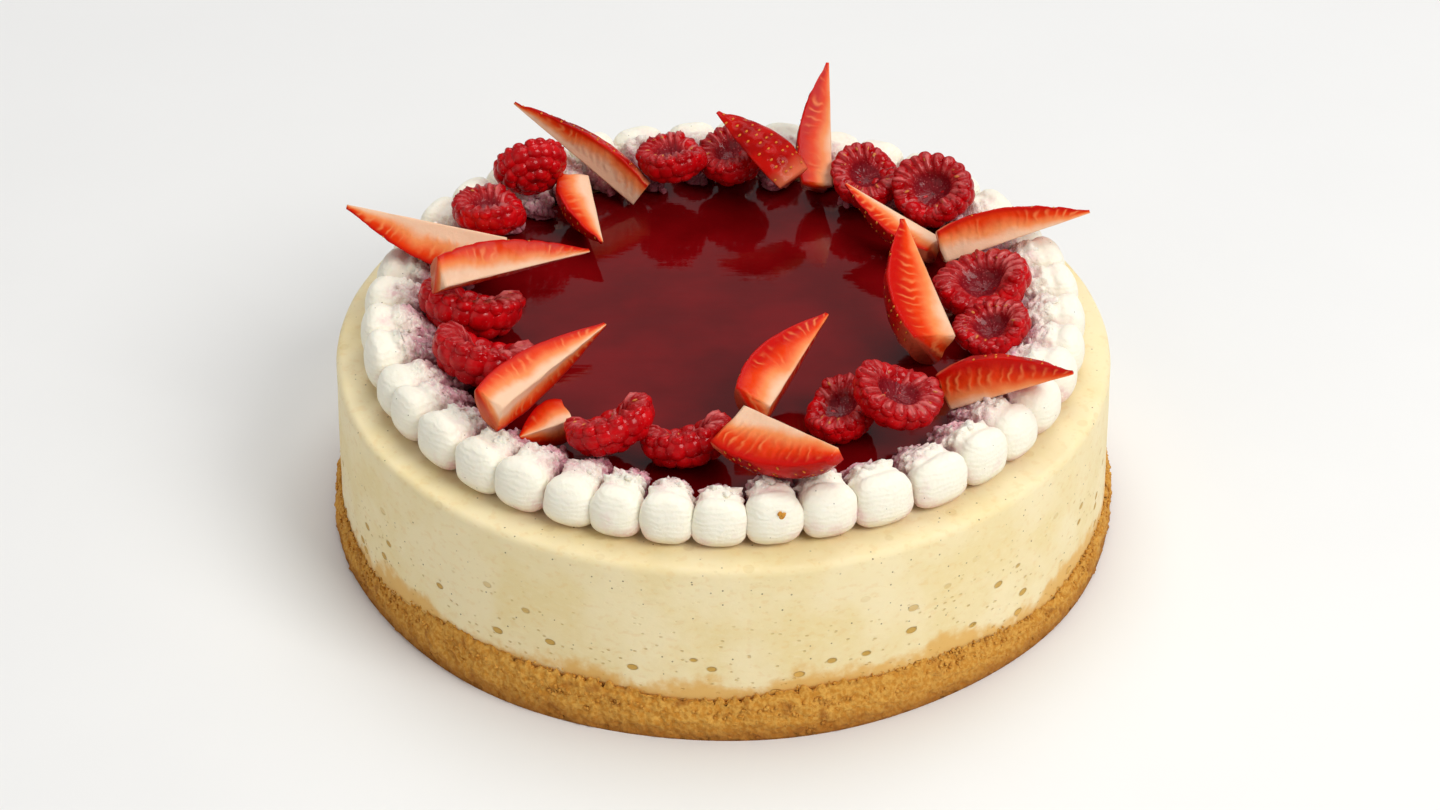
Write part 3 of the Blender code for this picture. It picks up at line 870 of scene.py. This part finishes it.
@dataclass
class Cream:
    """The border of piped dollops, each with a head and a torn tail over the jelly."""

    count: int = 41
    foot_radius: float = 91.3
    top: float = 62.4
    spread: float = 0.7
    base: float = 49.3
    bulge: float = 1.6
    underside: float = 52.4
    reach: tuple[float, float] = (67.0, 73.0)
    front: tuple[float, ...] = (-167.2, -157.6, -151.0, -141.5, -132.0, -123.6, -114.8, -107.0, -98.8,
                                -90.6, -82.2, -73.5, -64.4, -53.8, -44.4)
    columns: int = 5
    around: int = 40
    along: int = 54
    front_cap: float = 0.2
    overlap: float = 0.25
    widths: Stops = ((0.0, 0.94), (0.18, 1.0), (0.34, 0.98), (0.44, 0.84), (0.66, 0.76), (0.86, 0.56),
                     (1.0, 0.30))
    drops: Stops = ((0.0, 1.2), (0.10, 0.3), (0.26, 0.0), (0.34, 1.0), (0.44, 0.1), (0.58, 1.5), (0.80, 4.6),
                    (1.0, 7.6))
    floor_ends: float = 0.52
    tail_starts: float = 0.58
    torn_from: tuple[float, float] = (0.33, 0.50)
    squareness: tuple[float, float] = (0.72, 0.70)
    tuft_count: int = 16
    tuft_reach: float = 6.2
    tuft_width: float = 6.6
    tuft_floor: float = 53.0

    def places(self) -> list[float]:
        """Plan angles of the dollops."""
        drift = random.Random(11)
        rest = self.count - len(self.front)
        last = self.front[-1]
        step = (360.0 - (last - self.front[0])) / (rest + 1)
        return [*self.front, *(last + step * (i + 1) + drift.uniform(-0.5, 0.5) for i in range(rest))]

    def build(self, material: bpy.types.Material) -> None:
        """Makes the dollops and the torn tufts on their tails."""
        dollops = Batch()
        tufts = Batch()
        ragged = random.Random(23)
        draw = random.Random(57)
        places = self.places()
        for index, middle in enumerate(places):
            following = places[index + 1] if index + 1 < len(places) else places[0] + 360.0
            before = places[index - 1] if index else places[-1] - 360.0
            tail = ragged.uniform(*self.reach)
            crown = self.top + ragged.uniform(-self.spread, self.spread)
            # The solid draws a value for each column of a tail, so they are drawn here to stay in step.
            for _ in range(self.columns):
                ragged.random()
            width = 0.25 * (following - before) * math.radians(1.0) * self.foot_radius + self.overlap
            dollops.add(self.dollop(middle, width, tail, crown, draw.uniform(0.0, 90.0)))
            tufts.add(self.tufts(middle, tail, crown, draw))
        dollops.join().finish("cream_dollops", Slot.CREAM, material, ("cream_border",))
        tufts.join().finish("cream_tufts", Slot.CREAM, material)

    def profile(self, share: float, crown: float) -> tuple[float, float, float]:
        """Half width, underside and top of a dollop.

        Args:
            share: How far along it, from the front of the head to the tail's end.
            crown: The head's height.

        Returns:
            The half width as a share of the head's, the lowest and the highest point.
        """
        width = rounded(self.widths, share, 0.04)
        high = rounded([(place, crown - drop) for place, drop in self.drops], share, 0.03)
        low = blend(((self.floor_ends, self.base), (self.tail_starts, self.underside)), share)
        return width, low, high

    def dollop(self, middle: float, width: float, tail: float, crown: float, shift: float) -> Shape:
        """Makes one dollop.

        Args:
            middle: Its plan angle.
            width: Half the width of its head.
            tail: The radius that its tail reaches.
            crown: The height of its head.
            shift: Where it reads the noise that tears its tail.

        Returns:
            Its mesh.
        """
        shape = Shape()
        front = self.foot_radius + self.bulge
        turned = Matrix.Rotation(math.radians(middle), 4, "Z")
        for vertex in shape.ball(self.around, self.along):
            along = math.acos(max(-1.0, min(1.0, vertex.co.x))) / math.pi
            ring = math.sqrt(max(0.0, 1.0 - vertex.co.x ** 2))
            side = vertex.co.y / ring if ring > 1e-6 else 0.0
            rise = vertex.co.z / ring if ring > 1e-6 else 0.0
            eased = 0.5 - 0.5 * math.cos(math.pi * along) if along < 0.5 else along ** 1.15 * 1.1094
            share = min(1.0, 0.55 * along + 0.45 * eased)
            half, low, high = self.profile(share, crown)
            front_share = min(1.0, share / self.front_cap)
            close = (1.0 - (1.0 - front_share) ** 2.1) ** (1.0 / 2.1)
            close *= math.sqrt(1.0 - max(0.0, (share - 0.9) / 0.1) ** 2)
            torn = smooth_step(*self.torn_from, share)
            square = self.squareness[0] + (self.squareness[1] - self.squareness[0]) * torn
            across = math.copysign(abs(side) ** square, side) * width * half * close
            up = math.copysign(abs(rise) ** square, rise) * 0.5 * (high - low) * close
            radius = front - share * (front - tail)
            taper = 1.0 - 0.07 * rise * (1.0 - torn)
            point = Vector((radius, across * taper * radius / self.foot_radius, 0.5 * (low + high) + up))
            seat = point * 0.42 + Vector((shift, 0.0, 0.0))
            bumps = noise.fractal(seat, 0.7, 2.1, 4)
            lumps = 0.5 - noise.voronoi(seat * 1.4)[0][0]
            ripple = math.sin(3.3 * point.z + 7.0 * noise.noise(seat * 0.5))
            push = torn * (1.5 * bumps + 2.2 * lumps)
            push += (1.0 - torn) * (0.6 * noise.noise(seat * 0.5) + 0.06 * ripple)
            outward = Vector((0.25 * torn, side, max(rise, -0.2)))
            point += outward * push * close
            point.z = max(point.z, low + 0.1 * rise)
            vertex.co = turned @ point
        return shape

    def tufts(self, middle: float, tail: float, crown: float, draw: random.Random) -> Shape:
        """Makes the torn tufts of one tail."""
        shape = Shape()
        front = self.foot_radius + self.bulge
        for _ in range(self.tuft_count):
            share = draw.uniform(0.40, 1.03)
            half, _, high = self.profile(min(share, 1.0), crown)
            radius = front - share * (front - tail)
            across = draw.uniform(-1.0, 1.0) * self.tuft_reach * half
            sink = 1.0 - (across / (self.tuft_width * half)) ** 2
            height = self.underside + 0.4 + (high - self.underside) * (0.35 + 0.62 * sink) - 0.3
            size = draw.uniform(0.5, 1.25)
            turn = Matrix.Rotation(math.radians(middle) + draw.uniform(-0.7, 0.7), 4, "Z")
            turn = turn @ Matrix.Rotation(draw.uniform(-0.9, 0.2), 4, "Y")
            spot = Vector((radius, across, max(height, self.tuft_floor)))
            place = Matrix.Rotation(math.radians(middle), 4, "Z") @ spot
            made = shape.grain(Vector((size * draw.uniform(1.0, 1.7), size, size * 0.8)), turn, place, 2)
            for vertex in made:
                vertex.co += (vertex.co - place) * 0.7 * noise.noise(vertex.co * 0.9)
        return shape


@dataclass(frozen=True)
class WedgeRow:
    """How one wedge of strawberry lies: heading and tilt of its tip, roll of its skin, and its size.

    The point is how pointed its tip is, from 1 down to 0 for a blunt one.
    """

    name: str
    heading: float
    tilt: float
    roll: float
    length: float
    radius: float
    flesh: Flesh = Flesh.RED
    point: float = 1.0


@dataclass
class StrawberryWedge:
    """One lengthwise wedge: two cut faces, a seeded skin, the core along their common edge."""

    row: WedgeRow
    spread: float = 90.0
    stations: Stops = ((0.0, 0.84), (0.10, 0.95), (0.28, 1.0), (0.50, 0.88), (0.70, 0.62), (0.87, 0.33),
                       (0.96, 0.13), (1.0, 0.06))
    around: int = 64
    along: int = 56
    cut_share: float = 0.3
    seed_step: float = 3.3
    first_seeds: float = 2.5
    seed_size: Triple = (0.62, 0.36, 0.25)
    seed_sink: float = 0.34
    dimple_radius: float = 1.5
    dimple_depth: float = 0.45

    def build(self, material: bpy.types.Material) -> None:
        """Makes the wedge with its seeds and lays it where its node is."""
        shape = Shape()
        draw = random.Random(self.row.name)
        self.body(shape, draw)
        self.seeds(shape, draw)
        shape.move(self.lie())
        shape.finish("cut_" + self.row.name, Slot.STRAWBERRY, material, (self.row.name,))

    def size(self, share: float) -> float:
        """Radius of the berry at a share of its length."""
        return self.row.radius * rounded(self.stations, share, 0.05) ** self.row.point

    def skin_point(self, share: float, turn: float) -> Vector:
        """A point on the skin, turn being 0 in its middle and 1 at a cut face."""
        angle = math.radians(0.5 * self.spread) * turn
        out = self.size(share)
        return Vector((share * self.row.length, out * math.sin(angle), -out * math.cos(angle)))

    def body(self, shape: Shape, draw: random.Random) -> None:
        """Adds the solid flesh, and keeps where each point is in the berry."""
        local = shape.vector_layer("berry")
        skin = shape.layer("skin")
        ripe = shape.layer("ripe")
        shape.layer("seed")
        shift = Vector((draw.uniform(0.0, 50.0), 0.0, 0.0))
        rings = shape.rings(self.around, self.along)
        for step, ring in enumerate(rings):
            share = (step / (self.along - 1)) ** 0.92
            for index, vertex in enumerate(ring):
                around = index / self.around
                if around < self.cut_share:
                    depth, turn, outer = around / self.cut_share, -1.0, 0.0
                elif around <= 1.0 - self.cut_share:
                    depth, turn, outer = 1.0, (around - 0.5) / (0.5 - self.cut_share), 1.0
                else:
                    depth, turn, outer = (1.0 - around) / self.cut_share, 1.0, 0.0
                point = self.skin_point(share, turn)
                point = Vector((point.x, point.y * depth, point.z * depth))
                wave = noise.noise(point * 0.22 + shift)
                if outer:
                    point += Vector((0.0, point.y, point.z)).normalized() * 0.35 * wave
                else:
                    sag = 0.45 * math.sin(math.pi * depth) * math.sin(math.pi * min(1.0, share * 1.2))
                    point -= Vector((0.0, turn, 0.0)) * (sag + 0.3 * wave)
                vertex.co = point
                vertex[local] = Vector((point.x, depth, share))
                vertex[skin] = outer
                vertex[ripe] = self.row.flesh.value
        for vertex in rings[0]:
            vertex.co.x += 0.8 * noise.noise(vertex.co * 0.25 + shift)
        bmesh.ops.smooth_vert(shape.bm, verts=shape.bm.verts, factor=0.5, use_axis_x=True, use_axis_y=True,
                              use_axis_z=True)

    def seeds(self, shape: Shape, draw: random.Random) -> None:
        """Adds rows of seeds, each in a shallow dimple of the skin."""
        local = shape.vector_layer("berry")
        seed = shape.layer("seed")
        row = 0
        travel = self.first_seeds
        flesh = list(shape.bm.verts)
        spots: list[Vector] = []
        while travel < 0.95 * self.row.length:
            share = travel / self.row.length
            arc = math.radians(self.spread) * self.size(share)
            count = max(1, round(arc / self.seed_step))
            for i in range(count):
                turn = ((i + 0.5 + 0.5 * (row % 2) - 0.25) / count) * 2.0 - 1.0
                turn += draw.uniform(-0.16, 0.16)
                if abs(turn) < 0.93:
                    spots.append(self.skin_point(share + draw.uniform(-0.012, 0.012), turn))
            travel += 0.8 * self.seed_step
            row += 1
        for spot in spots:
            inward = -Vector((0.0, spot.y, spot.z)).normalized()
            for vertex in flesh:
                gap = (vertex.co - spot).length
                if gap < self.dimple_radius:
                    vertex.co += inward * self.dimple_depth * (1.0 - gap / self.dimple_radius)
            turn = inward.to_track_quat("Z", "X").to_matrix().to_4x4()
            made = shape.grain(Vector(self.seed_size), turn, spot + inward * self.seed_sink, 1)
            for vertex in made:
                vertex[seed] = 1.0
                vertex[local] = Vector((spot.x, 1.0, 0.5))

    def lie(self) -> Matrix:
        """The turn of the wedge and its place, taken from its node's box."""
        row = self.row
        turn = (Matrix.Rotation(math.radians(row.heading), 4, "Z")
                @ Matrix.Rotation(math.radians(-row.tilt), 4, "Y")
                @ Matrix.Rotation(math.radians(row.roll), 4, "X"))
        outline = [Vector((row.length, 0.0, -0.06 * row.radius))]
        for share, size in self.stations[:-1]:
            outline.append(Vector((share * row.length, 0.0, 0.0)))
            for step in range(7):
                angle = math.radians(self.spread) * (step / 6.0 - 0.5)
                out = row.radius * size ** row.point
                outline.append(Vector((share * row.length, out * math.sin(angle), -out * math.cos(angle))))
        return settle(row.name, turn, outline)


def settle(node: str, turn: Matrix, outline: Sequence[Vector]) -> Matrix:
    """Finds where a turned outline fits its node's box.

    Args:
        node: The node.
        turn: The rotation of the piece.
        outline: The points of the node's own form, in the piece's coordinates.

    Returns:
        The rotation and the move that bring the piece to its node.
    """
    low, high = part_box(node)
    turned = [turn @ point for point in outline]
    centre = Vector([0.5 * (min(p[i] for p in turned) + max(p[i] for p in turned)) for i in range(3)])
    return Matrix.Translation((low + high) * (0.5 / MM) - centre) @ turn


@dataclass(frozen=True)
class HalfRow:
    """How one half of a raspberry lies: its size, where its open end points, and how it leans."""

    name: str
    radius: float
    open_end: float
    lean: float
    towards: float


@dataclass
class RaspberryHalf:
    """Half a raspberry: drupelets round a cut cup whose hollow is open at one end."""

    row: HalfRow
    depth: float = 0.80
    length: float = 0.84
    lobes: int = 8
    relief: float = 0.055
    outline_rings: Stops = ((0.42, -0.93), (0.78, -0.68), (1.0, -0.30), (0.96, 0.0), (0.5, -0.02),
                            (0.34, -0.5))
    open_drop: float = 0.42
    open_start: float = 0.55
    wall: tuple[tuple[float, float, float, float], ...] = (
        (0.10, -0.98, 0.0, 0.0), (0.53, -0.88, 0.0, 0.0), (0.83, -0.58, 0.2, 0.0), (0.95, -0.28, 0.6, 0.0),
        (0.96, -0.08, 1.0, 0.3), (0.92, 0.0, 1.0, 1.0), (0.78, 0.02, 1.0, 1.0), (0.62, -0.01, 1.0, 1.0),
        (0.52, -0.09, 0.9, 1.0), (0.45, -0.24, 0.5, 1.0), (0.37, -0.40, 0.2, 1.0), (0.22, -0.49, 0.0, 1.0),
        (0.06, -0.52, 0.0, 1.0))
    drupelet_rings: tuple[tuple[float, float, int, float, float], ...] = (
        (0.83, -0.11, 18, 0.165, 1.0), (0.79, -0.36, 15, 0.26, 0.6), (0.62, -0.64, 11, 0.26, 0.15),
        (0.29, -0.80, 7, 0.245, 0.0))
    around: int = 144
    finger: float = 0.05
    roughness: float = 0.55
    seed_chance: float = 0.6
    seed_size: Triple = (1.0, 0.48, 0.3)
    cut_height: float = 0.11
    cut_bulge: float = 0.18
    cut_tint: float = 0.75

    def build(self, material: bpy.types.Material) -> None:
        """Makes the half and lays it where its node is."""
        shape = Shape()
        draw = random.Random(self.row.name)
        self.cup(shape, draw)
        self.drupelets(shape, draw)
        shape.move(self.lie())
        shape.finish("cut_" + self.row.name, Slot.RASPBERRY, material, (self.row.name,))

    def drop(self, turn: float) -> float:
        """How far the rim falls towards the open end, in shares of the depth."""
        return self.open_drop * max(0.0, (math.cos(turn) - self.open_start) / (1.0 - self.open_start))

    def point(self, turn: float, reach: float, level: float, falls: float) -> Vector:
        """A point of the half.

        Args:
            turn: Angle round it, from its open end.
            reach: Share of its radius.
            level: Share of its depth, 0 at the cut face and -1 at the bottom.
            falls: How much of the open end's drop it follows.

        Returns:
            The point in the half's own coordinates.
        """
        out = self.row.radius * reach
        height = (level - falls * self.drop(turn)) * self.depth * self.row.radius
        return Vector((out * self.length * math.cos(turn), out * math.sin(turn), height))

    def cup(self, shape: Shape, draw: random.Random) -> None:
        """Adds the flesh between the drupelets and the hollow."""
        local = shape.vector_layer("berry")
        cut = shape.layer("cut")
        shape.layer("seed")
        shift = Vector((draw.uniform(0.0, 60.0), 0.0, 0.0))
        lobes = self.drupelet_rings[0][2]
        rings = shape.rings(self.around, len(self.wall))
        for (reach, level, falls, inside), ring in zip(self.wall, rings):
            for index, vertex in enumerate(ring):
                turn = 2.0 * math.pi * index / self.around
                vertex.co = self.point(turn, reach, level, falls)
                rough = noise.fractal(vertex.co * 0.7 + shift, 0.8, 2.0, 3)
                fingers = self.finger * self.row.radius * math.cos(lobes * turn)
                vertex.co.z += (self.roughness * rough + fingers * smooth_step(0.50, 0.64, reach)) * inside
                vertex.co.xy *= 1.0 + 0.06 * rough
                vertex[local] = Vector((turn, reach, level))
                vertex[cut] = inside

    def drupelets(self, shape: Shape, draw: random.Random) -> None:
        """Adds the drupelets, the topmost ones cut level, with a seed in some of the cut ones."""
        local = shape.vector_layer("berry")
        cut = shape.layer("cut")
        seed = shape.layer("seed")
        scale = self.row.radius
        for ring, (reach, level, count, size, falls) in enumerate(self.drupelet_rings):
            for index in range(count):
                turn = 2.0 * math.pi * (index + 0.5 * (ring % 2) + draw.uniform(-0.12, 0.12)) / count
                place = self.point(turn, reach * draw.uniform(0.97, 1.03), level, falls)
                turned = Matrix.Rotation(turn, 4, "Z")
                reach_out = scale * size * draw.uniform(0.92, 1.08)
                half = Vector((reach_out * (0.84 if ring else 1.05), reach_out * 1.05, reach_out))
                made = shape.grain(half, turned, place, 3)
                for vertex in made:
                    out = Vector((vertex.co.x / self.length, vertex.co.y))
                    vertex[local] = Vector((math.atan2(out.y, out.x), out.length / scale, level))
                if ring == 0:
                    self.cut_level(made, place, cut, draw)
                if ring == 0 and draw.random() < self.seed_chance:
                    spot = self.point(turn, draw.uniform(0.66, 0.78), 0.02, 1.0)
                    grain = shape.grain(Vector(self.seed_size), turned, spot, 1)
                    for vertex in grain:
                        vertex[seed] = 1.0

    def cut_level(self, made: Sequence[bmesh.types.BMVert], place: Vector, cut: bmesh.types.BMLayerItem,
                  draw: random.Random) -> None:
        """Presses the top of a drupelet down to the cut face and marks it as cut."""
        level = place.z + self.cut_height * self.row.radius * self.depth + draw.uniform(-0.25, 0.3)
        for vertex in made:
            if vertex.co.z > level:
                vertex.co.z = level + self.cut_bulge * (vertex.co.z - level)
                vertex[cut] = self.cut_tint

    def lie(self) -> Matrix:
        """The turn of the half and its place, taken from its node's box."""
        row = self.row
        direction = math.radians(row.towards)
        axis = Vector((-math.sin(direction), math.cos(direction), 0.0))
        turn = (Matrix.Rotation(math.radians(row.lean), 4, axis)
                @ Matrix.Rotation(math.radians(row.open_end), 4, "Z"))
        outline = [Vector((0.0, 0.0, -self.depth * row.radius))]
        for index, (reach, level) in enumerate(self.outline_rings):
            for step in range(2 * self.lobes):
                relief = self.relief if index < 4 else 0.0
                angle = math.pi * step / self.lobes
                spread = reach * (1.0 + (relief if step % 2 else -relief))
                outline.append(self.point(angle, spread, level, 1.0 if index in (3, 4) else 0.0))
        return settle(row.name, turn, outline)


WEDGES = (
    WedgeRow("strawberry_01", 160.0, 36.0, -130.0, 42.0, 9.0, Flesh.PALE),
    WedgeRow("strawberry_02", -80.0, -12.0, -60.0, 26.0, 10.0, Flesh.BLUSH),
    WedgeRow("strawberry_03", 168.0, 6.0, 0.0, 43.0, 12.0, Flesh.PALE),
    WedgeRow("strawberry_04", 31.0, -4.0, 95.0, 42.0, 9.5, Flesh.BLUSH),
    WedgeRow("strawberry_05", 54.0, 3.0, 60.0, 42.0, 10.0, Flesh.BLUSH),
    WedgeRow("strawberry_06", -160.0, -8.0, -60.0, 13.5, 8.5, Flesh.RED),
    WedgeRow("strawberry_07", 64.0, 12.0, 65.0, 35.0, 11.5, Flesh.DEEP),
    WedgeRow("strawberry_08", -46.0, 6.0, -24.0, 32.0, 14.0, Flesh.RED, 0.5),
    WedgeRow("strawberry_09", 110.0, 22.0, 60.0, 38.0, 14.5, Flesh.DEEP),
    WedgeRow("strawberry_10", -9.0, 25.0, 128.0, 33.0, 11.5, Flesh.DEEP),
    WedgeRow("strawberry_11", 12.0, 15.0, 110.0, 40.0, 10.0, Flesh.BLUSH),
    WedgeRow("strawberry_12", 145.0, 12.0, 45.0, 31.0, 9.0, Flesh.BLUSH),
    WedgeRow("strawberry_13", 92.0, 46.0, 60.0, 34.0, 10.0, Flesh.DEEP),
    WedgeRow("strawberry_14", 144.0, 34.0, 170.0, 28.0, 9.5, Flesh.RED),
)
HALVES = (
    HalfRow("raspberry_01", 10.0, 80.0, 65.0, 105.0),
    HalfRow("raspberry_02", 11.2, 10.0, 12.0, 110.0),
    HalfRow("raspberry_03", 10.8, 10.0, 14.0, 140.0),
    HalfRow("raspberry_04", 11.0, 10.0, 20.0, 190.0),
    HalfRow("raspberry_05", 10.5, 20.0, 20.0, -110.0),
    HalfRow("raspberry_06", 11.5, -130.0, 25.0, -120.0),
    HalfRow("raspberry_07", 12.5, -90.0, 14.0, 180.0),
    HalfRow("raspberry_08", 10.0, -90.0, 15.0, 180.0),
    HalfRow("raspberry_09", 10.5, 170.0, 12.0, -150.0),
    HalfRow("raspberry_10", 11.5, 90.0, 26.0, -40.0),
    HalfRow("raspberry_11", 11.5, 100.0, 20.0, 120.0),
    HalfRow("raspberry_12", 11.5, 110.0, 24.0, 140.0),
    HalfRow("raspberry_13", 13.5, 80.0, 20.0, 50.0),
    HalfRow("raspberry_14", 13.5, 80.0, 18.0, 60.0),
)


def main() -> None:
    """Builds the studio and the cake."""
    logging.basicConfig(level=logging.INFO, format="%(message)s")
    Studio().build()
    crust = Crust()
    crust.build(BiscuitFinish().material())
    Filling(crust).build(FillingFinish().material())
    Jelly().build(JellyFinish().material())
    Cream().build(CreamFinish().material())
    strawberry = StrawberryFinish().material()
    for wedge in WEDGES:
        StrawberryWedge(wedge).build(strawberry)
    raspberry = RaspberryFinish().material()
    for half in HALVES:
        RaspberryHalf(half).build(raspberry)


if __name__ == "__main__":
    main()
